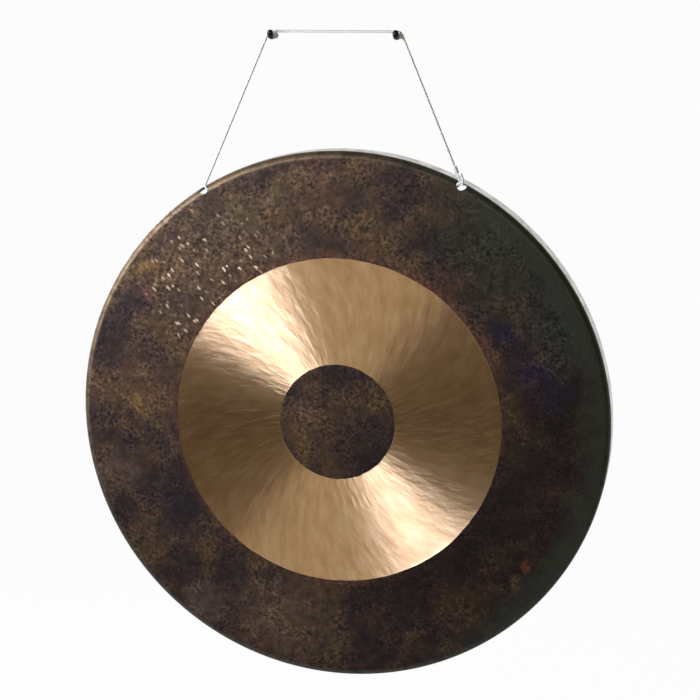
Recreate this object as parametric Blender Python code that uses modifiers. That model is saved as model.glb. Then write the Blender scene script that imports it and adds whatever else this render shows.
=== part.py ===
"""A flat-faced bronze gong, 600 mm across, hung by a nylon cord from two steel hooks.

Metres, +Z up. The struck face looks along -Y. The origin is the middle of the cord's level
stretch between the two hooks, which is the line that the cord swings about.
"""

import bmesh
import bpy
from math import atan2, ceil, cos, pi, radians, sin
from mathutils import Vector

# Clearance between pieces that touch, and the distance at which points of a turned shape merge
CLEARANCE = 0.0003
MERGE_DISTANCE = 0.00005

# Gong: one sheet of hammered bronze with its edge turned back
OUTER_RADIUS = 0.300
RIM_DEPTH = 0.033
WALL = 0.002
BEND_RADIUS = 0.008
LIP_ROUND = 0.0006
TURN_STEPS = 128
BEND_STEPS = 6

# Polished band, scraped bright on a lathe, a little off the middle of the face
BAND_OUTER_RADIUS = 0.1845
BAND_INNER_RADIUS = 0.0654
BAND_OFFSET_X = -0.0035
BAND_OFFSET_UP = -0.0017
SCRAPE_DEPTH = 0.0002

# Two holes drilled through the bend, each side of the top
HOLE_DIAMETER = 0.0115
HOLE_ANGLE = radians(28.9)
HOLE_SLANT = radians(40)
HOLE_SIDES = 32

# How the gong hangs: the cord's run behind the face, and the gong's small turn on it
RUN_X = -0.0046
RUN_Z = -0.1696
RUN_DROP = 0.0016
GONG_TURN = radians(2.0)

# Hooks: round steel rod, straight under the cord and turned up in front of it
HOOK_DIAMETER = 0.007
HOOK_SPACING = 0.1372
HOOK_BACK = 0.015
HOOK_STRAIGHT_FRONT = 0.003
HOOK_BEND_RADIUS = 0.006
HOOK_BEND_ANGLE = radians(70)
HOOK_BEND_STEPS = 6
HOOK_TIP_ANGLE = radians(80)
HOOK_TIP_STEPS = 4
HOOK_ROUND_STEPS = 4

# Cord: steps along its straight runs, its bends and its free end; a shorter stretch is a bend
CORD_DIAMETER = 0.003
CORD_STEP = 0.020
BEND_STEP = 0.0016
TAIL_STEP = 0.003
BEND_STRETCH = 0.005
CORD_ROUND_STEPS = 2

# The cord's route in the plane Y = 0, in millimetres, X and Z, from the top of the knot
CORD_ROUTE_MM = [
    (130.4, -141.0), (106.0, -81.6), (80.1, -18.7), (75.6, -7.8),
    (73.9, -3.7), (72.6, -1.8), (70.7, -0.5), (68.4, 0.0),
    (62.0, 0.0), (0.0, 0.0), (-62.0, 0.0),
    (-68.4, 0.0), (-70.7, -0.5), (-72.6, -1.8), (-73.9, -3.6),
    (-75.8, -7.9), (-80.6, -18.7), (-110.0, -84.5), (-138.6, -148.7), (-143.8, -160.4),
    (-146.3, -165.9), (-146.8, -168.3), (-146.2, -170.9),
    (-144.6, -172.9), (-142.6, -174.0), (-140.6, -174.3),
    (-135.0, -174.1), (-70.0, -171.9), (0.0, -169.4), (70.0, -167.0), (126.0, -165.0),
    (131.5, -164.8), (133.7, -164.3), (135.6, -163.0), (136.8, -161.1),
    (137.3, -158.8), (136.8, -156.5), (135.6, -153.6), (134.6, -151.2),
]

# The cord's short free end, in millimetres, X, Y and Z, from the knot down to its cut end
TAIL_ROUTE_MM = [
    (137.7, 0.0, -150.0), (139.1, -0.5, -153.4), (140.3, -1.3, -156.7),
    (140.6, -2.2, -159.8), (139.9, -3.1, -162.8),
]

# Knot in the cord, between the two ends of its route
KNOT_DIAMETER = 0.0058
KNOT_END_DIAMETER = 0.0050
KNOT_SIDES = 24
KNOT_STEPS = 5


def clear_scene():
    for old in list(bpy.data.objects):
        bpy.data.objects.remove(old)


def new_collection(name):
    made = bpy.data.collections.new(name)
    bpy.context.scene.collection.children.link(made)
    return made


def material(name, color, roughness, metallic):
    made = bpy.data.materials.new(name)
    made.use_nodes = True
    shader = made.node_tree.nodes["Principled BSDF"]
    shader.inputs["Base Color"].default_value = (*color, 1.0)
    shader.inputs["Roughness"].default_value = roughness
    shader.inputs["Metallic"].default_value = metallic
    return made


def add_empty(name, location, parent=None, turn=0.0):
    made = bpy.data.objects.new(name, None)
    made.location = location
    made.rotation_euler = (0.0, -turn, 0.0)
    made.parent = parent
    PARTS.objects.link(made)
    return made


def add_object(name, data, collection, finish=None, parent=None):
    made = bpy.data.objects.new(name, data)
    if finish is not None:
        data.materials.append(finish)
    made.parent = parent
    collection.objects.link(made)
    return made


def profile_mesh(name, points):
    """An open line of edges through points given as (radius, height)."""
    bm = bmesh.new()
    made = [bm.verts.new((radius, 0.0, height)) for radius, height in points]
    for first, second in zip(made, made[1:]):
        bm.edges.new((first, second))
    mesh = bpy.data.meshes.new(name)
    bm.to_mesh(mesh)
    bm.free()
    return mesh


def turn_profile(piece, sides):
    """Turns a profile once around its own Z axis."""
    screw = piece.modifiers.new("turn", "SCREW")
    screw.steps = sides
    screw.render_steps = sides
    screw.use_merge_vertices = True
    screw.merge_threshold = MERGE_DISTANCE
    screw.use_smooth_shade = True


def arc(centre_radius, centre_height, radius, start, end, steps):
    """Points on an arc; the angle is measured from the outward direction, up."""
    return [
        (
            centre_radius + radius * cos(start + (end - start) * step / steps),
            centre_height + radius * sin(start + (end - start) * step / steps),
        )
        for step in range(steps + 1)
    ]


def balance_depth():
    """How far behind the front of the face the gong's centre of mass lies."""
    flat_radius = OUTER_RADIUS - BEND_RADIUS
    inner_bend = BEND_RADIUS - WALL
    bend_centre = 4 / (3 * pi) * (BEND_RADIUS**3 - inner_bend**3) / (BEND_RADIUS**2 - inner_bend**2)
    face = pi * flat_radius**2 * WALL
    bend = pi / 4 * (BEND_RADIUS**2 - inner_bend**2) * 2 * pi * (flat_radius + bend_centre)
    rim = (RIM_DEPTH - BEND_RADIUS) * WALL * 2 * pi * (OUTER_RADIUS - WALL / 2)
    band = pi * (BAND_OUTER_RADIUS**2 - BAND_INNER_RADIUS**2) * SCRAPE_DEPTH
    moments = (
        face * WALL / 2
        + bend * (BEND_RADIUS - bend_centre)
        + rim * (RIM_DEPTH + BEND_RADIUS) / 2
        - band * SCRAPE_DEPTH / 2
    )
    return moments / (face + bend + rim - band)


def gong_profile():
    flat_radius = OUTER_RADIUS - BEND_RADIUS
    inner_radius = OUTER_RADIUS - WALL
    lip_height = LIP_ROUND - RIM_DEPTH
    return (
        [(0.0, 0.0)]
        + arc(flat_radius, -BEND_RADIUS, BEND_RADIUS, pi / 2, 0.0, BEND_STEPS)
        + [
            (OUTER_RADIUS, lip_height),
            (OUTER_RADIUS - LIP_ROUND, -RIM_DEPTH),
            (inner_radius + LIP_ROUND, -RIM_DEPTH),
            (inner_radius, lip_height),
        ]
        + arc(flat_radius, -BEND_RADIUS, BEND_RADIUS - WALL, 0.0, pi / 2, BEND_STEPS)
        + [(0.0, -WALL)]
    )


def hole_centre():
    """Middle of the wall where a hole goes through, as (radius, height)."""
    mid_bend = BEND_RADIUS - WALL / 2
    radius = OUTER_RADIUS - BEND_RADIUS + mid_bend * cos(HOLE_SLANT)
    height = -BEND_RADIUS + mid_bend * sin(HOLE_SLANT)
    return radius, height


def add_cut(piece, cutter):
    cutter.hide_render = True
    cutter.display_type = "WIRE"
    cut = piece.modifiers.new("cut " + cutter.name, "BOOLEAN")
    cut.operation = "DIFFERENCE"
    cut.solver = "EXACT"
    cut.object = cutter


def hole_cutter(name, side, gong):
    """A drill through the bend; side is 1 for the right hole and -1 for the left."""
    bm = bmesh.new()
    bmesh.ops.create_cone(
        bm,
        cap_ends=True,
        segments=HOLE_SIDES,
        radius1=HOLE_DIAMETER / 2,
        radius2=HOLE_DIAMETER / 2,
        depth=2 * HOLE_DIAMETER,
    )
    mesh = bpy.data.meshes.new(name)
    bm.to_mesh(mesh)
    bm.free()
    radius, height = hole_centre()
    cutter = add_object(name, mesh, CUTTERS, parent=gong)
    outward = Vector((side * sin(HOLE_ANGLE), cos(HOLE_ANGLE), 0.0))
    cutter.location = outward * radius + Vector((0.0, 0.0, height))
    drill = outward * cos(HOLE_SLANT) + Vector((0.0, 0.0, sin(HOLE_SLANT)))
    cutter.rotation_euler = drill.to_track_quat("Z", "Y").to_euler()
    return cutter


def band_cutter(gong):
    """A flat ring that takes the scraped band down by its depth."""
    profile = [
        (BAND_INNER_RADIUS, WALL),
        (BAND_OUTER_RADIUS, WALL),
        (BAND_OUTER_RADIUS, -SCRAPE_DEPTH),
        (BAND_INNER_RADIUS, -SCRAPE_DEPTH),
        (BAND_INNER_RADIUS, WALL),
    ]
    cutter = add_object("band_scrape", profile_mesh("band_scrape", profile), CUTTERS, parent=gong)
    cutter.location = (BAND_OFFSET_X, BAND_OFFSET_UP, 0.0)
    turn_profile(cutter, TURN_STEPS)
    return cutter


def make_gong(pivot):
    """The gong, with its axis level and its face to the front, hung below the cord's run."""
    bronze = material("hammered bronze", (0.09, 0.06, 0.035), 0.45, 1.0)
    gong = add_object("gong", profile_mesh("gong", gong_profile()), PARTS, bronze, pivot)
    hang = hole_centre()[0] * cos(HOLE_ANGLE) - RUN_DROP
    gong.location = (0.0, -balance_depth(), -hang)
    gong.rotation_euler = (pi / 2, 0.0, 0.0)
    turn_profile(gong, TURN_STEPS)
    add_cut(gong, hole_cutter("right_hole", 1, gong))
    add_cut(gong, hole_cutter("left_hole", -1, gong))
    add_cut(gong, band_cutter(gong))
    return gong


def rod_curve(name, points, diameter, round_steps):
    """A round rod through points, each with its share of the full thickness."""
    curve = bpy.data.curves.new(name, "CURVE")
    curve.dimensions = "3D"
    curve.bevel_depth = diameter / 2
    curve.bevel_resolution = round_steps
    curve.use_fill_caps = True
    spline = curve.splines.new("POLY")
    spline.points.add(len(points) - 1)
    for point, (place, share) in zip(spline.points, points):
        point.co = (*place, 1.0)
        point.radius = share
    return curve


def hook_points():
    """Centreline of a hook, back to front, from its fixed end to its rounded tip."""
    axis_z = -(CORD_DIAMETER / 2 + CLEARANCE + HOOK_DIAMETER / 2)
    points = [(Vector((0.0, HOOK_BACK, axis_z)), 1.0)]
    for step in range(HOOK_BEND_STEPS + 1):
        angle = HOOK_BEND_ANGLE * step / HOOK_BEND_STEPS
        place = Vector(
            (
                0.0,
                -HOOK_STRAIGHT_FRONT - HOOK_BEND_RADIUS * sin(angle),
                axis_z + HOOK_BEND_RADIUS * (1 - cos(angle)),
            )
        )
        points.append((place, 1.0))
    forward = Vector((0.0, -cos(HOOK_BEND_ANGLE), sin(HOOK_BEND_ANGLE)))
    tip = points[-1][0]
    for step in range(1, HOOK_TIP_STEPS + 1):
        angle = HOOK_TIP_ANGLE * step / HOOK_TIP_STEPS
        points.append((tip + forward * (HOOK_DIAMETER / 2 * sin(angle)), cos(angle)))
    return points


def make_hook(name, side, steel):
    curve = rod_curve(name, hook_points(), HOOK_DIAMETER, HOOK_ROUND_STEPS)
    hook = add_object(name, curve, PARTS, steel)
    hook.location = (side * HOOK_SPACING / 2, 0.0, 0.0)
    return hook


def smooth_route(points, step, bend_step):
    """Points on a centripetal Catmull-Rom curve; short stretches, in the bends, get closer ones."""
    ends = [points[0] * 2 - points[1]] + points + [points[-1] * 2 - points[-2]]
    route = []
    for p0, p1, p2, p3 in zip(ends, ends[1:], ends[2:], ends[3:]):
        length = (p2 - p1).length
        count = ceil(length / (bend_step if length < BEND_STRETCH else step))
        t1 = (p1 - p0).length ** 0.5
        t2 = t1 + length**0.5
        t3 = t2 + (p3 - p2).length ** 0.5
        for index in range(count):
            t = t1 + (t2 - t1) * index / count
            a1 = p0.lerp(p1, t / t1)
            a2 = p1.lerp(p2, (t - t1) / (t2 - t1))
            a3 = p2.lerp(p3, (t - t2) / (t3 - t2))
            b1 = a1.lerp(a2, t / t2)
            b2 = a2.lerp(a3, (t - t1) / (t3 - t1))
            route.append(b1.lerp(b2, (t - t1) / (t2 - t1)))
    route.append(points[-1])
    return route


def make_cord(pivot, nylon):
    """The sling, one piece of cord from the top of the knot round to its underside."""
    chosen = [Vector((x, 0.0, z)) / 1000 for x, z in CORD_ROUTE_MM]
    route = smooth_route(chosen, CORD_STEP, BEND_STEP)
    curve = rod_curve("cord", [(place, 1.0) for place in route], CORD_DIAMETER, CORD_ROUND_STEPS)
    return add_object("cord", curve, PARTS, nylon, pivot)


def make_tail(pivot, nylon):
    """The free end that is left below the knot."""
    chosen = [Vector(place) / 1000 for place in TAIL_ROUTE_MM]
    route = smooth_route(chosen, TAIL_STEP, TAIL_STEP)
    curve = rod_curve("cord_tail", [(place, 1.0) for place in route], CORD_DIAMETER, CORD_ROUND_STEPS)
    return add_object("cord_tail", curve, PARTS, nylon, pivot)


def make_knot(pivot, nylon):
    """The knot's outer shape, turned about the cord's own line, with a flat end to each strand."""
    top = Vector((CORD_ROUTE_MM[0][0], 0.0, CORD_ROUTE_MM[0][1])) / 1000
    foot = Vector((CORD_ROUTE_MM[-1][0], 0.0, CORD_ROUTE_MM[-1][1])) / 1000
    half = (top - foot).length / 2 - CLEARANCE
    swell = (KNOT_DIAMETER - KNOT_END_DIAMETER) / 2
    profile = [(0.0, half)]
    for step in range(KNOT_STEPS + 1):
        along = 1 - 2 * step / KNOT_STEPS
        profile.append((KNOT_END_DIAMETER / 2 + swell * cos(along * pi / 2), half * along))
    profile.append((0.0, -half))
    knot = add_object("cord_knot", profile_mesh("cord_knot", profile), PARTS, nylon, pivot)
    knot.location = (top + foot) / 2
    knot.rotation_euler = (0.0, atan2(top.x - foot.x, top.z - foot.z), 0.0)
    turn_profile(knot, KNOT_SIDES)
    return knot


clear_scene()
PARTS = new_collection("gong")
CUTTERS = new_collection("cutters")

cord_pivot = add_empty("cord_pivot", (0.0, 0.0, 0.0))
gong_pivot = add_empty("gong_pivot", (RUN_X, 0.0, RUN_Z), cord_pivot, GONG_TURN)
make_gong(gong_pivot)

black_steel = material("black steel", (0.02, 0.02, 0.02), 0.35, 0.6)
make_hook("hook_left", -1, black_steel)
make_hook("hook_right", 1, black_steel)

pale_nylon = material("pale nylon", (0.62, 0.60, 0.56), 0.6, 0.0)
make_cord(cord_pivot, pale_nylon)
make_tail(cord_pivot, pale_nylon)
make_knot(cord_pivot, pale_nylon)
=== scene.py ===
import math

import bmesh
import bpy
from mathutils import Matrix, Vector, noise


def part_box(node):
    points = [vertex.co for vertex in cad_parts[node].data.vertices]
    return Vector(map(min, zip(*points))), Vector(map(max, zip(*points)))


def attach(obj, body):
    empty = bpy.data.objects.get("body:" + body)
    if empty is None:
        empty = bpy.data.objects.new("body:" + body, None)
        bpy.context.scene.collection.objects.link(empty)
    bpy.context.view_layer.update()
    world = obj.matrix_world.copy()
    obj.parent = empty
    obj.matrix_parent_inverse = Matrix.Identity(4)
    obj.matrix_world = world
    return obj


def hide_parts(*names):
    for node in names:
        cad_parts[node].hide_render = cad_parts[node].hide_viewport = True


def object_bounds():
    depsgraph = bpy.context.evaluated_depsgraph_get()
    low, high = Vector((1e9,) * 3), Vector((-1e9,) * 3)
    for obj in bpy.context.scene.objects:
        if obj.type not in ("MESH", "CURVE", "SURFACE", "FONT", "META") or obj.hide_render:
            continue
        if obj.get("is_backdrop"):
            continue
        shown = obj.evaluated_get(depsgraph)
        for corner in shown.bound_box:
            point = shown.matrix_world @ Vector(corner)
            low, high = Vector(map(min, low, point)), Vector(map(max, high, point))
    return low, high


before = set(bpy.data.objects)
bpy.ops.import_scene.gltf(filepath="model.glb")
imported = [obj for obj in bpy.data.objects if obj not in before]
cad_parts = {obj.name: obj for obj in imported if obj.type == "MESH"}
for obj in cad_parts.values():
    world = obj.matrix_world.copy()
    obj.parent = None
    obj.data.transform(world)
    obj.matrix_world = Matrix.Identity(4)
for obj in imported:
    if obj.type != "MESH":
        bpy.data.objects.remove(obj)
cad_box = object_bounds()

# Camera at the photograph's viewing angle: a little to the gong's right and above it, with a long
# lens. It is placed from the pixel where the middle of the gong's face shows.
PICTURE_SIDE_PX = 700
FOCAL_PX = 1976.0
GONG_MIDDLE_PX = (339.9, 420.7)
VIEW_AZIMUTH = math.radians(12.05)
VIEW_ELEVATION = math.radians(11.83)
VIEW_ROLL = math.radians(-0.3)
VIEW_DISTANCE = 2.2
SIGHT_LIMIT = 1000.0
SENSOR_MM = 36.0

gong_low, gong_high = (Vector(corner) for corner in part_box("gong"))
face_middle = Vector(((gong_low.x + gong_high.x) / 2, gong_low.y, (gong_low.z + gong_high.z) / 2))
back = Vector(
    (
        math.sin(VIEW_AZIMUTH) * math.cos(VIEW_ELEVATION),
        -math.cos(VIEW_AZIMUTH) * math.cos(VIEW_ELEVATION),
        math.sin(VIEW_ELEVATION),
    )
)
level = Vector((math.cos(VIEW_AZIMUTH), math.sin(VIEW_AZIMUTH), 0.0))
upright = back.cross(level)
across = level * math.cos(VIEW_ROLL) + upright * math.sin(VIEW_ROLL)
upward = upright * math.cos(VIEW_ROLL) - level * math.sin(VIEW_ROLL)
shift_x = (GONG_MIDDLE_PX[0] - PICTURE_SIDE_PX / 2) / FOCAL_PX * VIEW_DISTANCE
shift_y = (PICTURE_SIDE_PX / 2 - GONG_MIDDLE_PX[1]) / FOCAL_PX * VIEW_DISTANCE
camera_place = face_middle - across * shift_x - upward * shift_y + back * VIEW_DISTANCE
camera_turn = Matrix((across, upward, back)).transposed().to_4x4()
camera_data = bpy.data.cameras.new("camera")
camera_data.sensor_width = SENSOR_MM
camera_data.lens = SENSOR_MM * FOCAL_PX / PICTURE_SIDE_PX
camera_data.clip_end = SIGHT_LIMIT
camera = bpy.data.objects.new("camera", camera_data)
camera.matrix_world = Matrix.Translation(camera_place) @ camera_turn
bpy.context.scene.collection.objects.link(camera)
bpy.context.scene.camera = camera

# Hanging cord: one pale cord of three twisted nylon strands, 3 mm thick. It runs from the knot
# above the right hole up over both hooks, down into the left hole, along behind the face, out of
# the right hole and back to the knot. The gong's weight draws it tight.
CORD_DIAMETER = 0.003
STRANDS = 3
STRAND_FULLNESS = 0.6
LAY_LENGTH = 0.0105
GROOVE_SHARE = 0.95
CORD_SIDES = 24
CORD_STEP = 0.0012
SEAM_GAP = 0.00001

# Its route, as mm to the right of and above the middle of the stretch between the hooks.
CORD_ROUTE_MM = [
    (130.4, -141.0), (106.0, -81.6), (80.1, -18.7), (75.6, -7.8),
    (73.9, -3.7), (72.6, -1.8), (70.7, -0.5), (68.4, 0.0),
    (62.0, 0.0), (0.0, 0.0), (-62.0, 0.0),
    (-68.4, 0.0), (-70.7, -0.5), (-72.6, -1.8), (-73.9, -3.6),
    (-75.8, -7.9), (-80.6, -18.7), (-110.0, -84.5), (-138.6, -148.7), (-143.8, -160.4),
    (-146.3, -165.9), (-146.8, -168.3), (-146.2, -170.9),
    (-144.6, -172.9), (-142.6, -174.0), (-140.6, -174.3),
    (-135.0, -174.1), (-70.0, -171.9), (0.0, -169.4), (70.0, -167.0), (126.0, -165.0),
    (131.5, -164.8), (133.7, -164.3), (135.6, -163.0), (136.8, -161.1),
    (137.3, -158.8), (136.8, -156.5), (135.6, -153.6), (134.6, -151.2),
]


def linear(code):
    """A colour given as an sRGB hex value, as the linear values that a shader takes."""
    shares = [int(code[start : start + 2], 16) / 255 for start in (1, 3, 5)]
    return tuple(s / 12.92 if s <= 0.04045 else ((s + 0.055) / 1.055) ** 2.4 for s in shares) + (1.0,)


def add_node(tree, kind, links=None, **settings):
    """Adds a node with its settings; links gives its inputs, as values or other nodes' outputs."""
    node = tree.nodes.new(kind)
    for name, value in settings.items():
        setattr(node, name, value)
    for name, value in (links or {}).items():
        if isinstance(value, bpy.types.NodeSocket):
            tree.links.new(value, node.inputs[name])
        else:
            node.inputs[name].default_value = value
    return node


def new_finish(name, **sockets):
    """A material whose Principled shader has the sockets given, with _ for a space in a name."""
    finish = bpy.data.materials.new(name)
    finish.use_nodes = True
    shader = finish.node_tree.nodes["Principled BSDF"]
    for socket, value in sockets.items():
        shader.inputs[socket.replace("_", " ")].default_value = value
    return finish, finish.node_tree, shader


def set_ramp(node, stops):
    """Gives a colour ramp its stops, as (position, hex colour)."""
    elements = node.color_ramp.elements
    while len(elements) < len(stops):
        elements.new(0.5)
    for element, (position, code) in zip(elements, stops):
        element.position = position
        element.color = linear(code)


def add_piece(name, mesh, *finishes):
    """An object at the origin, with its place in its mesh."""
    piece = bpy.data.objects.new(name, mesh)
    for finish in finishes:
        mesh.materials.append(finish)
    bpy.context.scene.collection.objects.link(piece)
    return piece


def smooth_route(points, step):
    """Evenly spread points on a centripetal Catmull-Rom curve through the chosen ones."""
    ends = [points[0] * 2 - points[1]] + points + [points[-1] * 2 - points[-2]]
    route = []
    for p0, p1, p2, p3 in zip(ends, ends[1:], ends[2:], ends[3:]):
        length = (p2 - p1).length
        count = math.ceil(length / step)
        t1 = (p1 - p0).length ** 0.5
        t2 = t1 + length**0.5
        t3 = t2 + (p3 - p2).length ** 0.5
        for index in range(count):
            t = t1 + (t2 - t1) * index / count
            a1 = p0.lerp(p1, t / t1)
            a2 = p1.lerp(p2, (t - t1) / (t2 - t1))
            a3 = p2.lerp(p3, (t - t2) / (t3 - t2))
            b1 = a1.lerp(a2, t / t2)
            b2 = a2.lerp(a3, (t - t1) / (t3 - t1))
            route.append(b1.lerp(b2, (t - t1) / (t2 - t1)))
    route.append(points[-1])
    return route


# Twisted nylon: off-white drawn filaments laid round each other, so that the strands have a soft sheen;
# the grooves between them are painted a little greyer, as painted shade. On the cord's own map, V goes
# once round it, past every strand.
nylon, tree, shader = new_finish("twisted_nylon", Roughness=0.5, IOR=1.53, Sheen_Weight=0.4)
uv = add_node(tree, "ShaderNodeUVMap", uv_map="UVMap")
on_cord = add_node(tree, "ShaderNodeSeparateXYZ", {0: uv.outputs[0]})
strand = add_node(tree, "ShaderNodeMath", {0: on_cord.outputs[1], 1: STRANDS}, operation="MULTIPLY")
into_groove = add_node(tree, "ShaderNodeMath", {0: strand.outputs[0], 1: 0.5}, operation="PINGPONG")
# Painted shade: the ramp turns greyer towards the grooves between strands.
strand_and_groove_shade = add_node(tree, "ShaderNodeValToRGB", {0: into_groove.outputs[0]})
set_ramp(strand_and_groove_shade, [(0.0, "#e5e2dc"), (0.30, "#dfdcd6"), (0.5, "#ccc9c2")])
tree.links.new(strand_and_groove_shade.outputs[0], shader.inputs["Base Color"])


def twisted_cord(name, route, diameter, lay_length):
    """A cord of three strands along a route; its section turns once in each lay length."""
    section_data = bpy.data.curves.new("cord_section", "CURVE")
    ring = section_data.splines.new("POLY")
    ring.points.add(CORD_SIDES - 1)
    for index, point in enumerate(ring.points):
        angle = 2 * math.pi * index / CORD_SIDES
        bulge = abs(math.cos(STRANDS * angle / 2)) ** STRAND_FULLNESS
        radius = diameter / 2 * (GROOVE_SHARE + (1 - GROOVE_SHARE) * bulge)
        point.co = (radius * math.cos(angle), radius * math.sin(angle), 0.0, 1.0)
    ring.use_cyclic_u = True
    section = bpy.data.objects.new("cord_section", section_data)
    bpy.context.scene.collection.objects.link(section)
    curve = bpy.data.curves.new(name, "CURVE")
    curve.dimensions = "3D"
    curve.bevel_mode = "OBJECT"
    curve.bevel_object = section
    curve.use_fill_caps = True
    line = curve.splines.new("POLY")
    line.points.add(len(route) - 1)
    travelled = 0.0
    for index, (point, place) in enumerate(zip(line.points, route)):
        travelled += (place - route[index - 1]).length if index else 0.0
        point.co = (*place, 1.0)
        point.tilt = 2 * math.pi * travelled / lay_length
    swept = bpy.data.objects.new(name, curve)
    bpy.context.scene.collection.objects.link(swept)
    bpy.context.view_layer.update()
    mesh = bpy.data.meshes.new_from_object(swept.evaluated_get(bpy.context.evaluated_depsgraph_get()))
    bpy.data.objects.remove(swept)
    bpy.data.objects.remove(section)
    mesh.materials.clear()
    bm = bmesh.new()
    bm.from_mesh(mesh)
    bmesh.ops.remove_doubles(bm, verts=bm.verts, dist=SEAM_GAP)
    bmesh.ops.recalc_face_normals(bm, faces=bm.faces)
    bm.to_mesh(mesh)
    bm.free()
    mesh.shade_smooth()
    piece = add_piece(name, mesh, nylon)
    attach(piece, "sling")
    return piece


cord_route = smooth_route([Vector((x, 0.0, z)) / 1000 for x, z in CORD_ROUTE_MM], CORD_STEP)
cord = twisted_cord("hanging_cord", cord_route, CORD_DIAMETER, LAY_LENGTH)
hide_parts("cord")

# Knot and free end: the cord's two ends are tied together just above the rim in a small tight
# bend, drawn as four turns of a thinner cord that fill the gap between them. The free end hangs
# down in front of it. In its route, the middle number is mm behind the cord, so less than 0.
KNOT_TURNS = 4
KNOT_STEPS = 96
KNOT_CORD_DIAMETER = 0.0023
KNOT_RADIUS = 0.0014
KNOT_END_SHARE = 0.8
KNOT_SWELL = 0.35
KNOT_START = 0.12
KNOT_RUN = 0.76
TAIL_ROUTE_MM = [
    (137.7, 0.0, -150.0), (139.1, -0.5, -153.4), (140.3, -1.3, -156.7),
    (140.6, -2.2, -159.8), (139.9, -3.1, -162.8),
]

knot_top, knot_foot = cord_route[0], cord_route[-1]
knot_line = knot_top - knot_foot
knot_side = knot_line.cross(Vector((0.0, 1.0, 0.0))).normalized()
knot_front = knot_line.cross(knot_side).normalized()
knot_route = []
for step in range(KNOT_STEPS + 1):
    share = step / KNOT_STEPS
    angle = 2 * math.pi * KNOT_TURNS * share
    swell = KNOT_RADIUS * (KNOT_END_SHARE + KNOT_SWELL * math.sin(math.pi * share))
    middle = knot_foot + knot_line * (KNOT_START + KNOT_RUN * share)
    round_it = knot_side * math.cos(angle) + knot_front * math.sin(angle)
    knot_route.append(middle + round_it * swell)
knot = twisted_cord("tied_knot", knot_route, KNOT_CORD_DIAMETER, LAY_LENGTH)
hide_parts("cord_knot")
tail_route = smooth_route([Vector(place) / 1000 for place in TAIL_ROUTE_MM], CORD_STEP)
tail = twisted_cord("cord_free_end", tail_route, CORD_DIAMETER, LAY_LENGTH)
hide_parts("cord_tail")

# Gong: one disc of high-tin bronze, cast, hammered out to 600 mm, with its edge turned back in a
# round bend to a 33 mm rim and a hole drilled through the bend on each side of the top. A lathe
# has scraped a bright band 0.2 mm into the face, a little off the middle.
RIM_RADIUS = 0.300
RIM_DEPTH = 0.033
WALL = 0.002
BEND_RADIUS = 0.008
LIP_ROUND = 0.0006
BAND_OUTER_RADIUS = 0.1845
BAND_INNER_RADIUS = 0.0654
BAND_OFFSET = Vector((-0.0035, 0.0, -0.0017))
SCRAPE_DEPTH = 0.0002
SCRAPE_EDGE = 0.0009

# It hangs turned by 2 degrees in its own plane, because the cord's left leg is the longer one.
GONG_TURN = math.radians(2.0)

# Steps round the turned shape, and how many rings each part of its outline has.
TURN_STEPS = 384
POLE_GAP = 0.000001
MIDDLE_RINGS = 18
BAND_RINGS = 56
SKIN_RINGS = 50
BEND_RINGS = 12
WALL_RINGS = 8
INNER_BEND_RINGS = 8
BACK_RINGS = 72

flat_radius = RIM_RADIUS - BEND_RADIUS
inner_radius = RIM_RADIUS - WALL
to_gong = Matrix.Translation(face_middle) @ Matrix.Rotation(-GONG_TURN, 4, "Y")


def straight_run(start, end, count):
    """Points between two (radius, depth) points, with the first and without the last."""
    (start_out, start_in), (end_out, end_in) = start, end
    shares = [index / count for index in range(count)]
    return [(start_out + (end_out - start_out) * s, start_in + (end_in - start_in) * s) for s in shares]


def bend_run(radius, start, end, count):
    """Points on the bend's arc, with the first and without the last; 90 degrees is at the face."""
    made = []
    for index in range(count):
        angle = math.radians(start + (end - start) * index / count)
        made.append((flat_radius + radius * math.cos(angle), BEND_RADIUS - radius * math.sin(angle)))
    return made


inner_floor = (BAND_INNER_RADIUS + SCRAPE_EDGE, SCRAPE_DEPTH)
outer_floor = (BAND_OUTER_RADIUS - SCRAPE_EDGE, SCRAPE_DEPTH)
lip_depth = RIM_DEPTH - LIP_ROUND
outer_lip = (RIM_RADIUS - LIP_ROUND, RIM_DEPTH)
inner_lip = (inner_radius + LIP_ROUND, RIM_DEPTH)
profile = straight_run((0.0, 0.0), (BAND_INNER_RADIUS, 0.0), MIDDLE_RINGS)
profile += straight_run((BAND_INNER_RADIUS, 0.0), inner_floor, 1)
profile += straight_run(inner_floor, outer_floor, BAND_RINGS)
profile += straight_run(outer_floor, (BAND_OUTER_RADIUS, 0.0), 1)
profile += straight_run((BAND_OUTER_RADIUS, 0.0), (flat_radius, 0.0), SKIN_RINGS)
profile += bend_run(BEND_RADIUS, 90, 0, BEND_RINGS)
profile += straight_run((RIM_RADIUS, BEND_RADIUS), (RIM_RADIUS, lip_depth), WALL_RINGS)
profile += straight_run((RIM_RADIUS, lip_depth), outer_lip, 1)
profile += straight_run(outer_lip, inner_lip, 1)
profile += straight_run(inner_lip, (inner_radius, lip_depth), 1)
profile += straight_run((inner_radius, lip_depth), (inner_radius, BEND_RADIUS), WALL_RINGS)
profile += bend_run(BEND_RADIUS - WALL, 0, 90, INNER_BEND_RINGS)
profile += straight_run((flat_radius, WALL), (0.0, WALL), BACK_RINGS)
profile.append((0.0, WALL))

bm = bmesh.new()
outline = [bm.verts.new((radius, depth, 0.0)) for radius, depth in profile]
edges = [bm.edges.new(pair) for pair in zip(outline, outline[1:])]
bmesh.ops.spin(
    bm,
    geom=outline + edges,
    cent=(0.0, 0.0, 0.0),
    axis=(0.0, 1.0, 0.0),
    angle=2 * math.pi,
    steps=TURN_STEPS,
    use_merge=True,
)
bmesh.ops.remove_doubles(bm, verts=bm.verts, dist=POLE_GAP)
bmesh.ops.recalc_face_normals(bm, faces=bm.faces)

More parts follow.
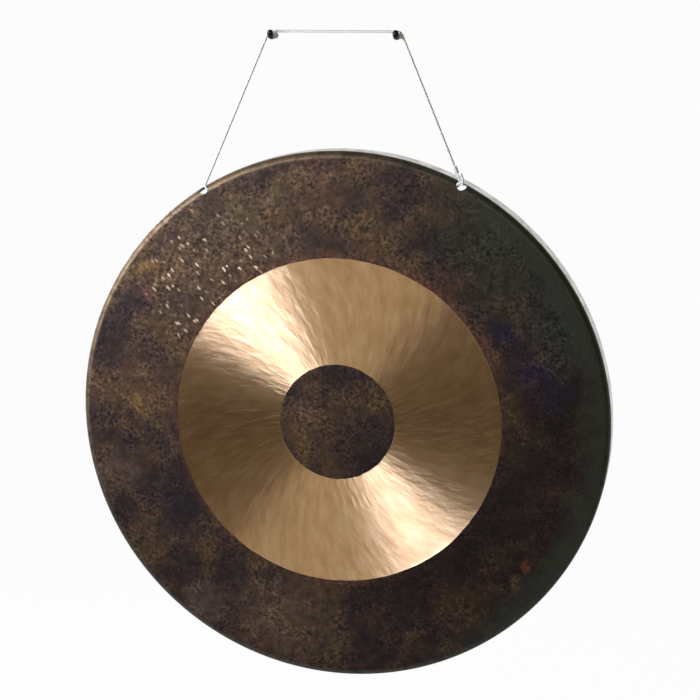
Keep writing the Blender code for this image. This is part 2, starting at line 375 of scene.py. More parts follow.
# The band's faces get the scraped finish, the rim's wall the rubbed one and the inside the back's,
# before hammering and hand scraping move the points.
inside_bend = BEND_RADIUS - WALL / 2
mid_rim = inner_radius + WALL / 4
PATINA, SCRAPED, RUBBED, BACK = range(4)
for face in bm.faces:
    face.smooth = True
    middle = face.calc_center_median()
    radius = math.hypot(middle.x, middle.z)
    if middle.y < WALL / 2 and BAND_INNER_RADIUS < radius < BAND_OUTER_RADIUS:
        face.material_index = SCRAPED
    if radius > mid_rim and middle.y > BEND_RADIUS:
        face.material_index = RUBBED
    if middle.y > WALL / 2 and math.hypot(radius - flat_radius, middle.y - BEND_RADIUS) < inside_bend:
        face.material_index = BACK
    if middle.y > WALL / 2 and radius < flat_radius:
        face.material_index = BACK
    if middle.y > BEND_RADIUS and radius < mid_rim:
        face.material_index = BACK

# Hammering leaves the face a little uneven, with shallow dents outside the band, and its marks
# stay in the back as shallow hollows. Scraping by hand leaves faint ripples that run outward
# across the band and an edge that isn't quite true. The bend itself stays as it was turned.
SWELL_DEPTH = 0.0005
SWELL_SIZE = 0.110
DENT_DEPTH = 0.00022
DENT_SIZE = 0.017
DENTS_BEGIN = 0.008
MIDDLE_DENT_SHARE = 0.4
HAMMER_MARK = 0.016
MARK_DEPTH = 0.0004
RIPPLE_DEPTH = 0.00006
RIPPLE_LENGTH = 0.045
RIPPLES_AROUND = 40
RIPPLE_FADE = 0.010
EDGE_WANDER = 0.0005
EDGE_WANDER_REACH = 0.004
FINE_WANDER_SIZE = 0.006
SLOW_WANDER_SIZE = 0.030
SLOW_WANDER_SHARE = 0.6
FADE_BY_BEND = 0.025
SWELL_SEED, DENT_SEED, MIDDLE_DENT_SEED = 1.5, 7.5, 3.5
FINE_WANDER_SEED, SLOW_WANDER_SEED = 11.5, 5.5


def uneven(place, size, seed):
    """Smooth noise of about -1 to 1 over the face, whose lumps are as large as size."""
    return noise.noise(Vector((place.x / size, seed, place.z / size)))


for vert in bm.verts:
    if vert.co.y > BEND_RADIUS:
        continue
    radius = math.hypot(vert.co.x, vert.co.z)
    out = Vector((vert.co.x, 0.0, vert.co.z)).normalized()
    settled = min(max((flat_radius - radius) / FADE_BY_BEND, 0.0), 1.0)
    push = SWELL_DEPTH * uneven(vert.co, SWELL_SIZE, SWELL_SEED)
    if radius > BAND_OUTER_RADIUS:
        past_edge = min((radius - BAND_OUTER_RADIUS) / DENTS_BEGIN, 1.0)
        push += DENT_DEPTH * past_edge * uneven(vert.co, DENT_SIZE, DENT_SEED)
    elif radius > BAND_INNER_RADIUS:
        around = out * (RIPPLES_AROUND / math.pi)
        ripple = noise.noise(Vector((around.x, radius / RIPPLE_LENGTH, around.z)))
        near_edge = min(radius - BAND_INNER_RADIUS, BAND_OUTER_RADIUS - radius)
        push += RIPPLE_DEPTH * ripple * min(near_edge / RIPPLE_FADE, 1.0)
    else:
        push += DENT_DEPTH * MIDDLE_DENT_SHARE * uneven(vert.co, DENT_SIZE, MIDDLE_DENT_SEED)
    if vert.co.y < WALL / 2:
        wander = uneven(vert.co, FINE_WANDER_SIZE, FINE_WANDER_SEED)
        wander += SLOW_WANDER_SHARE * uneven(vert.co, SLOW_WANDER_SIZE, SLOW_WANDER_SEED)
        from_edge = min(abs(radius - BAND_OUTER_RADIUS), abs(radius - BAND_INNER_RADIUS))
        vert.co += out * (EDGE_WANDER * wander * max(1 - from_edge / EDGE_WANDER_REACH, 0.0))
        inward = (flat_radius - radius) / (flat_radius - BAND_OUTER_RADIUS)
        vert.co += BAND_OFFSET * min(max(inward, 0.0), 1.0)
    else:
        apart = noise.voronoi(Vector((vert.co.x, 0.0, vert.co.z)) / HAMMER_MARK)[0][0]
        push -= MARK_DEPTH * (1 - min(apart, 1.0))
    vert.co.y += push * settled
bm.transform(to_gong)
gong_mesh = bpy.data.meshes.new("gong_shell")
bm.to_mesh(gong_mesh)
bm.free()

# Patina: the fire skin of tin and copper oxides, hammered, rubbed down and waxed. It is nearly
# black-brown, with tan, olive and purple clouds, fine speckle and a soft gloss. Its patterns
# start away from the face's middle, where all sizes of a noise line up and leave a flaw.
CLOUD_SIZE = 0.050
MOTTLE_SIZE = 0.010
SPECK_SIZE = 0.0036
SKIN_SIZE = 0.026
PATTERN_START = Vector((0.37, 0.53, 0.71))
patina, tree, shader = new_finish("waxed_bronze_patina", Metallic=0.7)
patina_place = add_node(tree, "ShaderNodeTexCoord")
on_face = add_node(
    tree, "ShaderNodeMapping", {"Vector": patina_place.outputs["Object"], "Location": -face_middle}
)
in_skin = add_node(
    tree, "ShaderNodeMapping", {"Vector": on_face.outputs[0], "Location": PATTERN_START}
)
clouds = add_node(
    tree,
    "ShaderNodeTexNoise",
    {"Vector": in_skin.outputs[0], "Scale": 1 / CLOUD_SIZE, "Detail": 5.0, "Roughness": 0.6},
)
mottles = add_node(
    tree,
    "ShaderNodeTexNoise",
    {"Vector": in_skin.outputs[0], "Scale": 1 / MOTTLE_SIZE, "Detail": 4.0, "Roughness": 0.65},
)
specks = add_node(
    tree,
    "ShaderNodeTexNoise",
    {"Vector": in_skin.outputs[0], "Scale": 1 / SPECK_SIZE, "Detail": 2.0, "Roughness": 0.6},
)
skin = add_node(
    tree,
    "ShaderNodeTexNoise",
    {"Vector": in_skin.outputs[0], "Scale": 1 / SKIN_SIZE, "Detail": 3.0, "Roughness": 0.55},
)
ground = add_node(tree, "ShaderNodeValToRGB", {0: clouds.outputs[0]})
set_ramp(ground, [(0.30, "#291e1b"), (0.45, "#342622"), (0.56, "#463426"), (0.72, "#5a442a")])
colour = ground.outputs[0]

# Heat and wax have coloured it in patches with ragged edges. Some large patches also carry painted light
# and shade: lighter on the upper left, where the strip lamp lights the face, and darker on the lower
# right and right, away from it. Columns: mm right of and above the middle, mm of radius, colour and
# strength. In a colour mix, 6 and 7 are its two colours.
PATCH_RAGGED_SIZE = 0.025
PATCH_RAGGED_SHIFT = (0.05, 0.0, 0.05)
NOISE_MIDDLE = (0.5, 0.5, 0.5)
IN_PLANE = (1.0, 0.0, 1.0)
PATINA_AND_SHADING_PATCHES = [
    # Partly painted light: this large patch is lighter where the strip lamp lights the upper left.
    (-120, 160, 150, "#56422f", 0.80),
    (-225, 30, 75, "#5a412b", 0.65),
    (-262, -70, 40, "#6a5142", 0.55),
    (-70, -235, 85, "#66503f", 0.65),
    (-160, -225, 45, "#66524a", 0.55),
    (-30, 262, 60, "#5c4230", 0.60),
    # Partly painted shade: these two large patches are darker on the lower right and right, away from the
    # strip lamp.
    (140, -120, 190, "#1f1513", 0.85),
    (255, 0, 90, "#1c1413", 0.86),
    (180, 205, 122, "#303124", 0.88),
    (250, 115, 82, "#2a302a", 0.88),
    (-185, -110, 70, "#2b2225", 0.60),
    (112, 155, 36, "#4c3029", 0.75),
    (182, 106, 30, "#20192c", 0.88),
    (212, 62, 40, "#231a31", 0.85),
    (244, 38, 26, "#231c2c", 0.70),
    (150, 60, 22, "#4a3230", 0.60),
    (-116, 230, 26, "#6a5838", 0.60),
    (-71, 254, 18, "#665436", 0.55),
    (-43, 270, 18, "#665436", 0.50),
    (-224, 138, 11, "#74463a", 0.65),
    (-216, 168, 12, "#7a5a30", 0.60),
    (177, 224, 14, "#4f441c", 0.70),
    (243, 145, 16, "#3c4230", 0.60),
    (-233, 2, 14, "#71532a", 0.65),
    (206, -161, 9, "#6e4528", 0.70),
    (201, -177, 10, "#5f4529", 0.75),
    (-135, -150, 14, "#52302b", 0.55),
    (-6, -256, 30, "#4c3c28", 0.65),
    (257, -136, 10, "#6a5a48", 0.60),
    (-40, 8, 34, "#583f36", 0.65),
    (42, 0, 36, "#201c1f", 0.80),
    (0, 52, 26, "#241c18", 0.65),
]
ragged_noise = add_node(
    tree,
    "ShaderNodeTexNoise",
    {"Vector": in_skin.outputs[0], "Scale": 1 / PATCH_RAGGED_SIZE, "Detail": 4.0},
)
centred = add_node(
    tree, "ShaderNodeVectorMath", {0: ragged_noise.outputs[1], 1: NOISE_MIDDLE}, operation="SUBTRACT"
)
shifted = add_node(
    tree,
    "ShaderNodeVectorMath",
    {0: centred.outputs[0], 1: PATCH_RAGGED_SHIFT, 2: on_face.outputs[0]},
    operation="MULTIPLY_ADD",
)
ragged_plane = add_node(
    tree, "ShaderNodeVectorMath", {0: shifted.outputs[0], 1: IN_PLANE}, operation="MULTIPLY"
)
for right_mm, up_mm, radius_mm, code, strength in PATINA_AND_SHADING_PATCHES:
    spot = (right_mm / 1000, 0.0, up_mm / 1000)
    apart = add_node(
        tree, "ShaderNodeVectorMath", {0: ragged_plane.outputs[0], 1: spot}, operation="DISTANCE"
    )
    fade = add_node(
        tree,
        "ShaderNodeMapRange",
        {
            "Value": apart.outputs["Value"],
            "From Min": radius_mm / 1000,
            "From Max": 0.0,
            "To Max": strength,
        },
        interpolation_type="SMOOTHSTEP",
    )
    patch = add_node(
        tree, "ShaderNodeMix", {0: fade.outputs[0], 6: colour, 7: linear(code)}, data_type="RGBA"
    )
    colour = patch.outputs[2]

# Scraping has warmed the skin along the band's outer edge to a red-brown, least on the lower
# right.
WARM_COLOUR = "#57392b"
WARM_REACH = 0.014
WARM_STRENGTH = 0.55
TO_LOWER_RIGHT = (0.87, 0.0, -0.5)
COOL_FROM, COOL_TO = 0.10, 0.16
WARM_LEFT = 0.15
true_plane = add_node(
    tree, "ShaderNodeVectorMath", {0: on_face.outputs[0], 1: IN_PLANE}, operation="MULTIPLY"
)
from_axis = add_node(tree, "ShaderNodeVectorMath", {0: true_plane.outputs[0]}, operation="LENGTH")
past_band = add_node(
    tree, "ShaderNodeMath", {0: from_axis.outputs["Value"], 1: BAND_OUTER_RADIUS}, operation="SUBTRACT"
)
off_band = add_node(tree, "ShaderNodeMath", {0: past_band.outputs[0]}, operation="ABSOLUTE")
by_band = add_node(
    tree,
    "ShaderNodeMapRange",
    {
        "Value": off_band.outputs[0],
        "From Min": WARM_REACH,
        "From Max": 0.0,
        "To Max": WARM_STRENGTH,
    },
    interpolation_type="SMOOTHSTEP",
)
lower_right = add_node(
    tree, "ShaderNodeVectorMath", {0: on_face.outputs[0], 1: TO_LOWER_RIGHT}, operation="DOT_PRODUCT"
)
kept_warm = add_node(
    tree,
    "ShaderNodeMapRange",
    {
        "Value": lower_right.outputs["Value"],
        "From Min": COOL_FROM,
        "From Max": COOL_TO,
        "To Min": 1.0,
        "To Max": WARM_LEFT,
    },
)
warmth = add_node(
    tree, "ShaderNodeMath", {0: by_band.outputs[0], 1: kept_warm.outputs[0]}, operation="MULTIPLY"
)
warmed = add_node(
    tree, "ShaderNodeMix", {0: warmth.outputs[0], 6: colour, 7: linear(WARM_COLOUR)}, data_type="RGBA"
)

# Mottles and specks lighten and darken it. The specks show where the skin is rough, and the
# mottles are calmer on the middle disc.
MIDDLE_MARGIN = 0.01
MIDDLE_CALM = 0.6
SMOOTH_LIGHTNESS = 0.85
mottled = add_node(
    tree,
    "ShaderNodeMapRange",
    {"Value": mottles.outputs[0], "From Min": 0.34, "From Max": 0.66, "To Min": 0.55, "To Max": 1.55},
)
speckled = add_node(
    tree,
    "ShaderNodeMapRange",
    {"Value": specks.outputs[0], "From Min": 0.34, "From Max": 0.66, "To Min": 0.35, "To Max": 1.85},
)
rough_skin = add_node(
    tree,
    "ShaderNodeMapRange",
    {"Value": skin.outputs[0], "From Min": 0.40, "From Max": 0.54, "To Min": 0.15, "To Max": 1.0},
)
grainy = add_node(
    tree, "ShaderNodeMix", {0: rough_skin.outputs[0], 2: SMOOTH_LIGHTNESS, 3: speckled.outputs[0]}
)
in_middle = add_node(
    tree,
    "ShaderNodeMath",
    {0: from_axis.outputs["Value"], 1: BAND_INNER_RADIUS + MIDDLE_MARGIN},
    operation="LESS_THAN",
)
evened = add_node(tree, "ShaderNodeMath", {0: in_middle.outputs[0], 1: MIDDLE_CALM}, operation="MULTIPLY")
calmer = add_node(tree, "ShaderNodeMix", {0: evened.outputs[0], 2: mottled.outputs[0], 3: 1.0})
lightness = add_node(
    tree, "ShaderNodeMath", {0: calmer.outputs[0], 1: grainy.outputs[0]}, operation="MULTIPLY"
)
varied = add_node(
    tree, "ShaderNodeVectorMath", {0: warmed.outputs[2], "Scale": lightness.outputs[0]}, operation="SCALE"
)

# The upper right edge has a smooth dark green-grey margin with a ragged inner edge.
MARGIN_COLOUR = "#33372c"
MARGIN_STRENGTH = 0.9
MARGIN_FROM_RIGHT, MARGIN_FULL_RIGHT = 0.09, 0.19
MARGIN_FROM_RADIUS, MARGIN_FULL_RADIUS = 0.262, 0.288
face_place = add_node(tree, "ShaderNodeSeparateXYZ", {0: on_face.outputs[0]})
rightward = add_node(
    tree,
    "ShaderNodeMapRange",
    {"Value": face_place.outputs[0], "From Min": MARGIN_FROM_RIGHT, "From Max": MARGIN_FULL_RIGHT},
)
ragged_radius = add_node(tree, "ShaderNodeVectorMath", {0: ragged_plane.outputs[0]}, operation="LENGTH")
at_edge = add_node(
    tree,
    "ShaderNodeMapRange",
    {
        "Value": ragged_radius.outputs["Value"],
        "From Min": MARGIN_FROM_RADIUS,
        "From Max": MARGIN_FULL_RADIUS,
        "To Max": MARGIN_STRENGTH,
    },
)
margin = add_node(
    tree, "ShaderNodeMath", {0: rightward.outputs[0], 1: at_edge.outputs[0]}, operation="MULTIPLY"
)
edged = add_node(
    tree,
    "ShaderNodeMix",
    {0: margin.outputs[0], 6: varied.outputs[0], 7: linear(MARGIN_COLOUR)},
    data_type="RGBA",
)

# On the upper left, where the strip lamp's light falls, short glints that slope down to the right are
# painted in bright bronze on the ridges between hammer marks: partly bronze rubbed bare, partly a painted
# highlight. Their spacing is given along and across them, in metres.
GLINT_HIGHLIGHT_COLOUR = "#e0c4a0"
GLINT_PLACE = (-0.145, 0.0, 0.155)
GLINT_REACH = 0.094
GLINT_SLOPE = math.radians(48)
GLINT_SPACING = (0.0115, 1.0, 0.0055)
GLINT_RAGGED = (0.7, 0.0, 0.7)
GLINT_EDGE, GLINT_CORE = 0.29, 0.15
GLINT_PICKED_FROM, GLINT_PICKED_FULL = 0.30, 0.80
sloped = add_node(
    tree,
    "ShaderNodeVectorRotate",
    {"Vector": true_plane.outputs[0], "Angle": -GLINT_SLOPE},
    rotation_type="Y_AXIS",
)
stretched = add_node(
    tree, "ShaderNodeVectorMath", {0: sloped.outputs[0], 1: GLINT_SPACING}, operation="DIVIDE"
)
ragged = add_node(
    tree,
    "ShaderNodeVectorMath",
    {0: specks.outputs[1], 1: GLINT_RAGGED, 2: stretched.outputs[0]},
    operation="MULTIPLY_ADD",
)
ridges = add_node(tree, "ShaderNodeTexVoronoi", {"Vector": ragged.outputs[0], "Scale": 1.0})
ridge = add_node(
    tree,
    "ShaderNodeMapRange",
    {"Value": ridges.outputs["Distance"], "From Min": GLINT_EDGE, "From Max": GLINT_CORE},
)
picked = add_node(tree, "ShaderNodeSeparateColor", {0: ridges.outputs["Color"]})
kept = add_node(
    tree,
    "ShaderNodeMapRange",
    {"Value": picked.outputs[0], "From Min": GLINT_PICKED_FROM, "From Max": GLINT_PICKED_FULL},
)
from_zone = add_node(
    tree, "ShaderNodeVectorMath", {0: ragged_plane.outputs[0], 1: GLINT_PLACE}, operation="DISTANCE"
)
in_zone = add_node(
    tree,
    "ShaderNodeMapRange",
    {"Value": from_zone.outputs["Value"], "From Min": GLINT_REACH, "From Max": GLINT_REACH / 2},
)
bright_ridges = add_node(
    tree, "ShaderNodeMath", {0: ridge.outputs[0], 1: kept.outputs[0]}, operation="MULTIPLY"
)
painted_glints = add_node(
    tree, "ShaderNodeMath", {0: bright_ridges.outputs[0], 1: in_zone.outputs[0]}, operation="MULTIPLY"
)
glinting = add_node(
    tree,
    "ShaderNodeMix",
    {0: painted_glints.outputs[0], 6: edged.outputs[2], 7: linear(GLINT_HIGHLIGHT_COLOUR)},
    data_type="RGBA",
)

# The bend is rubbed to dull bronze. On the upper left, where the strip lamp's highlight falls on it, it
# is painted golden bronze as a painted highlight.
DULL_BRONZE = "#4a4a3f"
GOLDEN_HIGHLIGHT_BRONZE = "#7a6346"
BEND_WEAR_AND_HIGHLIGHT = 0.8
BEND_FADE = 0.0025
BEND_ROUGHNESS = 0.54
TO_UPPER_LEFT = (-0.71, 0.0, 0.71)
HIGHLIGHT_SIDE_FROM, HIGHLIGHT_SIDE_FULL = 0.12, 0.27
on_bend = add_node(
    tree,
    "ShaderNodeMapRange",
    {
        "Value": from_axis.outputs["Value"],
        "From Min": flat_radius,
        "From Max": flat_radius + BEND_FADE,
        "To Max": BEND_WEAR_AND_HIGHLIGHT,
    },
)
upper_left = add_node(
    tree, "ShaderNodeVectorMath", {0: on_face.outputs[0], 1: TO_UPPER_LEFT}, operation="DOT_PRODUCT"
)
lamp_side_highlight = add_node(
    tree,
    "ShaderNodeMapRange",
    {"Value": upper_left.outputs["Value"], "From Min": HIGHLIGHT_SIDE_FROM, "From Max": HIGHLIGHT_SIDE_FULL},
)
bend_bronze_and_highlight = add_node(
    tree,
    "ShaderNodeMix",
    {0: lamp_side_highlight.outputs[0], 6: linear(DULL_BRONZE), 7: linear(GOLDEN_HIGHLIGHT_BRONZE)},
    data_type="RGBA",
)
rubbed_most = add_node(
    tree,
    "ShaderNodeMapRange",
    {"Value": mottles.outputs[0], "From Min": 0.36, "From Max": 0.52, "To Min": 0.35, "To Max": 1.0},
)
bend_wear_and_highlight = add_node(
    tree, "ShaderNodeMath", {0: on_bend.outputs[0], 1: rubbed_most.outputs[0]}, operation="MULTIPLY"
)
bent = add_node(
    tree,
    "ShaderNodeMix",
    {0: bend_wear_and_highlight.outputs[0], 6: glinting.outputs[2], 7: bend_bronze_and_highlight.outputs[2]},
    data_type="RGBA",
)
tree.links.new(bent.outputs[2], shader.inputs["Base Color"])
skin_gloss = add_node(
    tree,
    "ShaderNodeMapRange",
    {"Value": mottles.outputs[0], "From Min": 0.30, "From Max": 0.70, "To Min": 0.58, "To Max": 0.44},
)
bend_gloss = add_node(
    tree, "ShaderNodeMix", {0: bend_wear_and_highlight.outputs[0], 2: skin_gloss.outputs[0], 3: BEND_ROUGHNESS}
)
tree.links.new(bend_gloss.outputs[0], shader.inputs["Roughness"])
grain = add_node(
    tree, "ShaderNodeBump", {"Height": specks.outputs[0], "Strength": 0.5, "Distance": 0.0004}
)
dents = add_node(
    tree,
    "ShaderNodeBump",
    {"Height": mottles.outputs[0], "Strength": 0.6, "Distance": 0.0008, "Normal": grain.outputs[0]},
)
tree.links.new(dents.outputs[0], shader.inputs["Normal"])

# Scraped bronze: bare metal turned with a hand scraper. Its fine grooves run round the band and
# spread the light outward, and their long flanks face a little inward. Its ripples run outward,
# lean a little and are a few millimetres wide.
RIPPLE_FACTOR = 15.0
RIPPLE_RUN = 0.024
RIPPLE_LEAN = 2.2
RIPPLE_HEIGHT = 0.00055
GROOVE_LEAN = math.radians(2.2)
scraped, tree, shader = new_finish(
    "lathe_scraped_bronze", Metallic=1.0, Roughness=0.40, Anisotropic=1.0
)
band_place = add_node(tree, "ShaderNodeTexCoord")
on_band = add_node(
    tree,
    "ShaderNodeMapping",
    {"Vector": band_place.outputs["Object"], "Location": -face_middle - BAND_OFFSET},
)
band_plane = add_node(
    tree, "ShaderNodeVectorMath", {0: on_band.outputs[0], 1: IN_PLANE}, operation="MULTIPLY"
)
outward = add_node(tree, "ShaderNodeVectorMath", {0: band_plane.outputs[0]}, operation="NORMALIZE")
distance = add_node(tree, "ShaderNodeVectorMath", {0: band_plane.outputs[0]}, operation="LENGTH")
in_world = add_node(
    tree,
    "ShaderNodeVectorTransform",
    {0: outward.outputs[0]},
    vector_type="VECTOR",
    convert_from="OBJECT",
    convert_to="WORLD",
)
tree.links.new(in_world.outputs[0], shader.inputs["Tangent"])
runs = add_node(
    tree, "ShaderNodeMath", {0: distance.outputs["Value"], 1: RIPPLE_RUN}, operation="DIVIDE"
)
along = add_node(tree, "ShaderNodeCombineXYZ", {1: runs.outputs[0]})
lean = add_node(
    tree, "ShaderNodeMath", {0: distance.outputs["Value"], 1: RIPPLE_LEAN}, operation="MULTIPLY"
)
leaning = add_node(
    tree,
    "ShaderNodeVectorRotate",
    {"Vector": outward.outputs[0], "Angle": lean.outputs[0]},
    rotation_type="Y_AXIS",
)
ripple_place = add_node(
    tree,
    "ShaderNodeVectorMath",
    {0: leaning.outputs[0], 1: (RIPPLE_FACTOR, 0.0, RIPPLE_FACTOR), 2: along.outputs[0]},
    operation="MULTIPLY_ADD",
)
ripples = add_node(
    tree,
    "ShaderNodeTexNoise",
    {"Vector": ripple_place.outputs[0], "Scale": 1.0, "Detail": 4.0, "Roughness": 0.55},
)
band_tone = add_node(tree, "ShaderNodeValToRGB", {0: ripples.outputs[0]})
set_ramp(band_tone, [(0.30, "#d8af86"), (0.50, "#e6bd91"), (0.70, "#efcda5")])
tree.links.new(band_tone.outputs[0], shader.inputs["Base Color"])
flanked = add_node(
    tree,
    "ShaderNodeMath",
    {0: distance.outputs["Value"], 1: math.tan(GROOVE_LEAN) / RIPPLE_HEIGHT, 2: ripples.outputs[0]},
    operation="MULTIPLY_ADD",
)
waves = add_node(
    tree, "ShaderNodeBump", {"Height": flanked.outputs[0], "Strength": 1.0, "Distance": RIPPLE_HEIGHT}
)
tree.links.new(waves.outputs[0], shader.inputs["Normal"])

# Rubbed bronze: the rim's wall, where hands and the stand have worn the fire skin to a dull grey
# with darker clouds, glossier where it is rubbed most.
RIM_CLOUDS_PER_METRE = 60
rubbed, tree, shader = new_finish("rubbed_bronze_rim", Metallic=1.0)
rim_place = add_node(tree, "ShaderNodeTexCoord")
rim_wear = add_node(
    tree,
    "ShaderNodeTexNoise",
    {
        "Vector": rim_place.outputs["Object"],
        "Scale": RIM_CLOUDS_PER_METRE,
        "Detail": 5.0,
        "Roughness": 0.65,
    },
)
rim_tone = add_node(tree, "ShaderNodeValToRGB", {0: rim_wear.outputs[0]})
set_ramp(rim_tone, [(0.38, "#8e8a82"), (0.58, "#c6c2bc")])
tree.links.new(rim_tone.outputs[0], shader.inputs["Base Color"])
rim_gloss = add_node(
    tree, "ShaderNodeMapRange", {"Value": rim_wear.outputs[0], "To Min": 0.38, "To Max": 0.22}
)
tree.links.new(rim_gloss.outputs[0], shader.inputs["Roughness"])

# Fire skin: the back and the inside of the rim keep the dull black-brown scale of the forge, with
# paler tan bloom in clouds as large as the patina's skin.
fire_skin, tree, shader = new_finish("forge_scale_on_bronze", Metallic=0.6)
back_place = add_node(tree, "ShaderNodeTexCoord")
on_back = add_node(
    tree, "ShaderNodeMapping", {"Vector": back_place.outputs["Object"], "Location": PATTERN_START}
)
scale_clouds = add_node(
    tree,
    "ShaderNodeTexNoise",
    {"Vector": on_back.outputs[0], "Scale": 1 / SKIN_SIZE, "Detail": 6.0, "Roughness": 0.7},
)
scale_colour = add_node(tree, "ShaderNodeValToRGB", {0: scale_clouds.outputs[0]})
set_ramp(scale_colour, [(0.34, "#33291f"), (0.50, "#4a3c32"), (0.66, "#6f5b48")])
tree.links.new(scale_colour.outputs[0], shader.inputs["Base Color"])
scale_gloss = add_node(
    tree,
    "ShaderNodeMapRange",
    {
        "Value": scale_clouds.outputs[0],
        "From Min": 0.35,
        "From Max": 0.65,
        "To Min": 0.55,
        "To Max": 0.40,
    },
)
tree.links.new(scale_gloss.outputs[0], shader.inputs["Roughness"])
pitted = add_node(
    tree, "ShaderNodeBump", {"Height": scale_clouds.outputs[0], "Strength": 0.6, "Distance": 0.0008}
)
tree.links.new(pitted.outputs[0], shader.inputs["Normal"])

# The two holes are drilled through the bend on a slant, which lets the cord run on upward.
HOLE_DIAMETER = 0.0115
HOLE_ANGLE = math.radians(28.9)
HOLE_SLANT = math.radians(40)
DRILL_SIDES = 64
CRISP_EDGE = math.radians(35)

gong = add_piece("gong_shell", gong_mesh, patina, scraped, rubbed, fire_skin)
mid_bend = BEND_RADIUS - WALL / 2
for side in (1, -1):
    bm = bmesh.new()
    bmesh.ops.create_cone(
        bm,
        cap_ends=True,
        segments=DRILL_SIDES,
        radius1=HOLE_DIAMETER / 2,
        radius2=HOLE_DIAMETER / 2,
        depth=2 * HOLE_DIAMETER,
    )
    out = Vector((side * math.sin(HOLE_ANGLE), 0.0, math.cos(HOLE_ANGLE)))
    centre = out * (flat_radius + mid_bend * math.cos(HOLE_SLANT))
    centre.y = BEND_RADIUS - mid_bend * math.sin(HOLE_SLANT)
    drill = out * math.cos(HOLE_SLANT) - Vector((0.0, math.sin(HOLE_SLANT), 0.0))
    drill_turn = drill.to_track_quat("Z", "Y").to_matrix().to_4x4()
    bm.transform(to_gong @ Matrix.Translation(centre) @ drill_turn)
    drill_mesh = bpy.data.meshes.new("drill")
    bm.to_mesh(drill_mesh)
    bm.free()
    cutter = add_piece("drill", drill_mesh)
    bore = gong.modifiers.new("bore", "BOOLEAN")
    bore.solver = "EXACT"
    bore.object = cutter
    bpy.context.view_layer.update()
    gong.data = bpy.data.meshes.new_from_object(gong.evaluated_get(bpy.context.evaluated_depsgraph_get()))
    gong.modifiers.clear()
    bpy.data.objects.remove(cutter)
gong.data.name = "gong_shell"
gong.data.set_sharp_from_angle(angle=CRISP_EDGE)
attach(gong, "gong")
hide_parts("gong")

# Hooks: black-lacquered steel rod, 7 mm thick, straight under the cord and turned up in front of
# it. The rod's fixed end goes into whatever carries the gong. The lacquer is worn in small spots.
LACQUER_SPOTS_PER_METRE = 350
black_steel, tree, shader = new_finish("black_lacquered_steel", Metallic=0.6)
hook_place = add_node(tree, "ShaderNodeTexCoord")
hook_wear = add_node(
    tree,
    "ShaderNodeTexNoise",
    {"Vector": hook_place.outputs["Object"], "Scale": LACQUER_SPOTS_PER_METRE, "Detail": 4.0},
)
lacquer = add_node(tree, "ShaderNodeValToRGB", {0: hook_wear.outputs[0]})
set_ramp(lacquer, [(0.45, "#131313"), (0.75, "#33302e")])
tree.links.new(lacquer.outputs[0], shader.inputs["Base Color"])
lacquer_gloss = add_node(
    tree, "ShaderNodeMapRange", {"Value": hook_wear.outputs[0], "To Min": 0.25, "To Max": 0.42}
)
tree.links.new(lacquer_gloss.outputs[0], shader.inputs["Roughness"])
for name in ("hook_left", "hook_right"):
    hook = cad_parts[name]
    hook.data.materials.clear()
    hook.data.materials.append(black_steel)

# Floor: plain pale paper, well below the hanging gong. It shows nearly white to the camera and in
# metal that looks down behind the gong, and it keeps the gong's shadow.
FLOOR_HEIGHT = -1.5
FLOOR_HALF_SIDE = 150.0
FLOOR_WHITE = 0.97
BEHIND_GONG = 0.5
bm = bmesh.new()
bmesh.ops.create_grid(bm, x_segments=1, y_segments=1, size=FLOOR_HALF_SIDE)
bmesh.ops.translate(bm, verts=bm.verts, vec=(0.0, 0.0, FLOOR_HEIGHT))
floor_mesh = bpy.data.meshes.new("floor")
bm.to_mesh(floor_mesh)
bm.free()
paper, tree, shader = new_finish("matt_white_paper", Base_Color=linear("#e8e8e8"), Roughness=0.9)
floor_rays = add_node(tree, "ShaderNodeLightPath")
floor_place = add_node(tree, "ShaderNodeTexCoord")
on_floor = add_node(tree, "ShaderNodeSeparateXYZ", {0: floor_place.outputs["Object"]})
floor_behind = add_node(
    tree, "ShaderNodeMath", {0: on_floor.outputs[1], 1: BEHIND_GONG}, operation="GREATER_THAN"
)
floor_mirrored = add_node(
    tree,
    "ShaderNodeMath",
    {0: floor_rays.outputs["Is Glossy Ray"], 1: floor_behind.outputs[0]},
    operation="MULTIPLY",
)
floor_seen = add_node(
    tree,
    "ShaderNodeMath",
    {0: floor_rays.outputs["Is Camera Ray"], 1: floor_mirrored.outputs[0]},
    operation="MAXIMUM",
)
white_share = add_node(
    tree, "ShaderNodeMath", {0: floor_seen.outputs[0], 1: FLOOR_WHITE}, operation="MULTIPLY"
)
white_paper = add_node(tree, "ShaderNodeEmission", {"Color": linear("#ffffff")})
floor_shown = add_node(
    tree,
    "ShaderNodeMixShader",
    {0: white_share.outputs[0], 1: shader.outputs[0], 2: white_paper.outputs[0]},
)
tree.links.new(floor_shown.outputs[0], tree.nodes["Material Output"].inputs[0])
floor = add_piece("floor", floor_mesh, paper)
floor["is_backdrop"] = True

# Room: a white backdrop behind the gong, which the camera and the metal see, and a dim room in
# front of it, which the scraped band reflects as brown shade.
ROOM_LEVEL = 0.105
BACKDROP_FROM, BACKDROP_FULL = 0.40, 0.80
room = bpy.data.worlds.new("studio")
bpy.context.scene.world = room
room.use_nodes = True
tree = room.node_tree
dim_room = tree.nodes["Background"]
dim_room.inputs["Color"].default_value = linear("#ffe8be")
dim_room.inputs["Strength"].default_value = ROOM_LEVEL
backdrop = add_node(tree, "ShaderNodeBackground", {"Color": linear("#ffffff")})
room_rays = add_node(tree, "ShaderNodeLightPath")
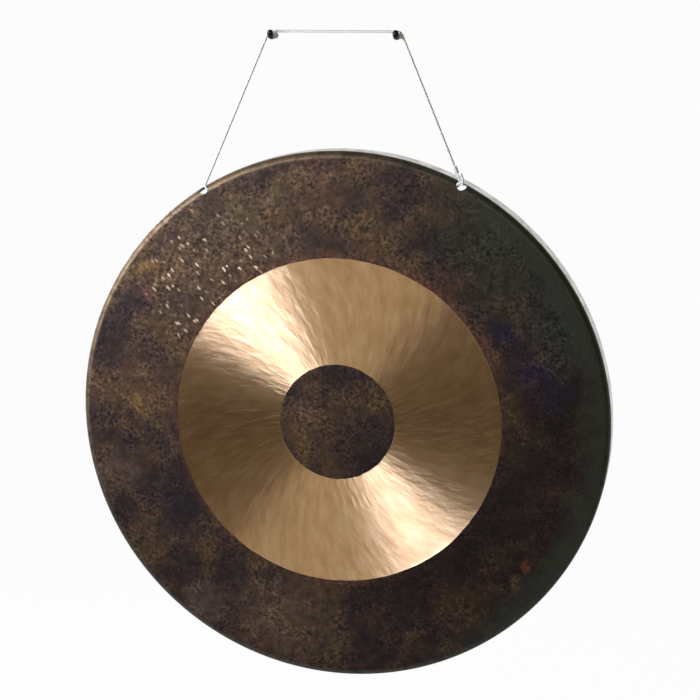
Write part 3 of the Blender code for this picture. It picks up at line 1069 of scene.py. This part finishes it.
direction = add_node(tree, "ShaderNodeTexCoord")
toward = add_node(tree, "ShaderNodeSeparateXYZ", {0: direction.outputs["Generated"]})
room_behind = add_node(
    tree,
    "ShaderNodeMapRange",
    {"Value": toward.outputs[1], "From Min": BACKDROP_FROM, "From Max": BACKDROP_FULL},
)
room_mirrored = add_node(
    tree,
    "ShaderNodeMath",
    {0: room_rays.outputs["Is Glossy Ray"], 1: room_behind.outputs[0]},
    operation="MULTIPLY",
)
room_seen = add_node(
    tree,
    "ShaderNodeMath",
    {0: room_rays.outputs["Is Camera Ray"], 1: room_mirrored.outputs[0]},
    operation="MAXIMUM",
)
room_shown = add_node(
    tree,
    "ShaderNodeMixShader",
    {0: room_seen.outputs[0], 1: dim_room.outputs[0], 2: backdrop.outputs[0]},
)
tree.links.new(room_shown.outputs[0], tree.nodes["World Output"].inputs[0])

# Lamps: a strip box close by on the upper left, a wide box in front and overhead, and a box
# behind on the left, which lights the back. Watts are 4 x the radiance x the area.
WATTS_PER_RADIANCE = 4


def soft_box(name, place, width, height, radiance, code):
    """A rectangular lamp, at a place from the face's middle and aimed at it."""
    data = bpy.data.lights.new(name, "AREA")
    data.shape = "RECTANGLE"
    data.size = width
    data.size_y = height
    data.energy = WATTS_PER_RADIANCE * width * height * radiance
    data.color = linear(code)[:3]
    lamp = bpy.data.objects.new(name, data)
    aimed = Vector(place).to_track_quat("Z", "Y").to_matrix().to_4x4()
    lamp.matrix_world = Matrix.Translation(face_middle + Vector(place)) @ aimed
    bpy.context.scene.collection.objects.link(lamp)


soft_box("strip_box", (-0.930, -0.700, 0.490), 0.90, 0.50, 15.0, "#dfe9ff")
soft_box("front_box", (-0.247, -2.718, 1.246), 2.40, 0.50, 3.3, "#fff8e0")
soft_box("back_box", (-1.900, 1.500, 0.600), 1.00, 1.00, 10.0, "#f4f6ff")

bpy.context.scene.view_settings.view_transform = "Standard"
boxes = {"cad": cad_box, "visual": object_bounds()}
boxes = {name: [list(map(float, corner)) for corner in box] for name, box in boxes.items()}
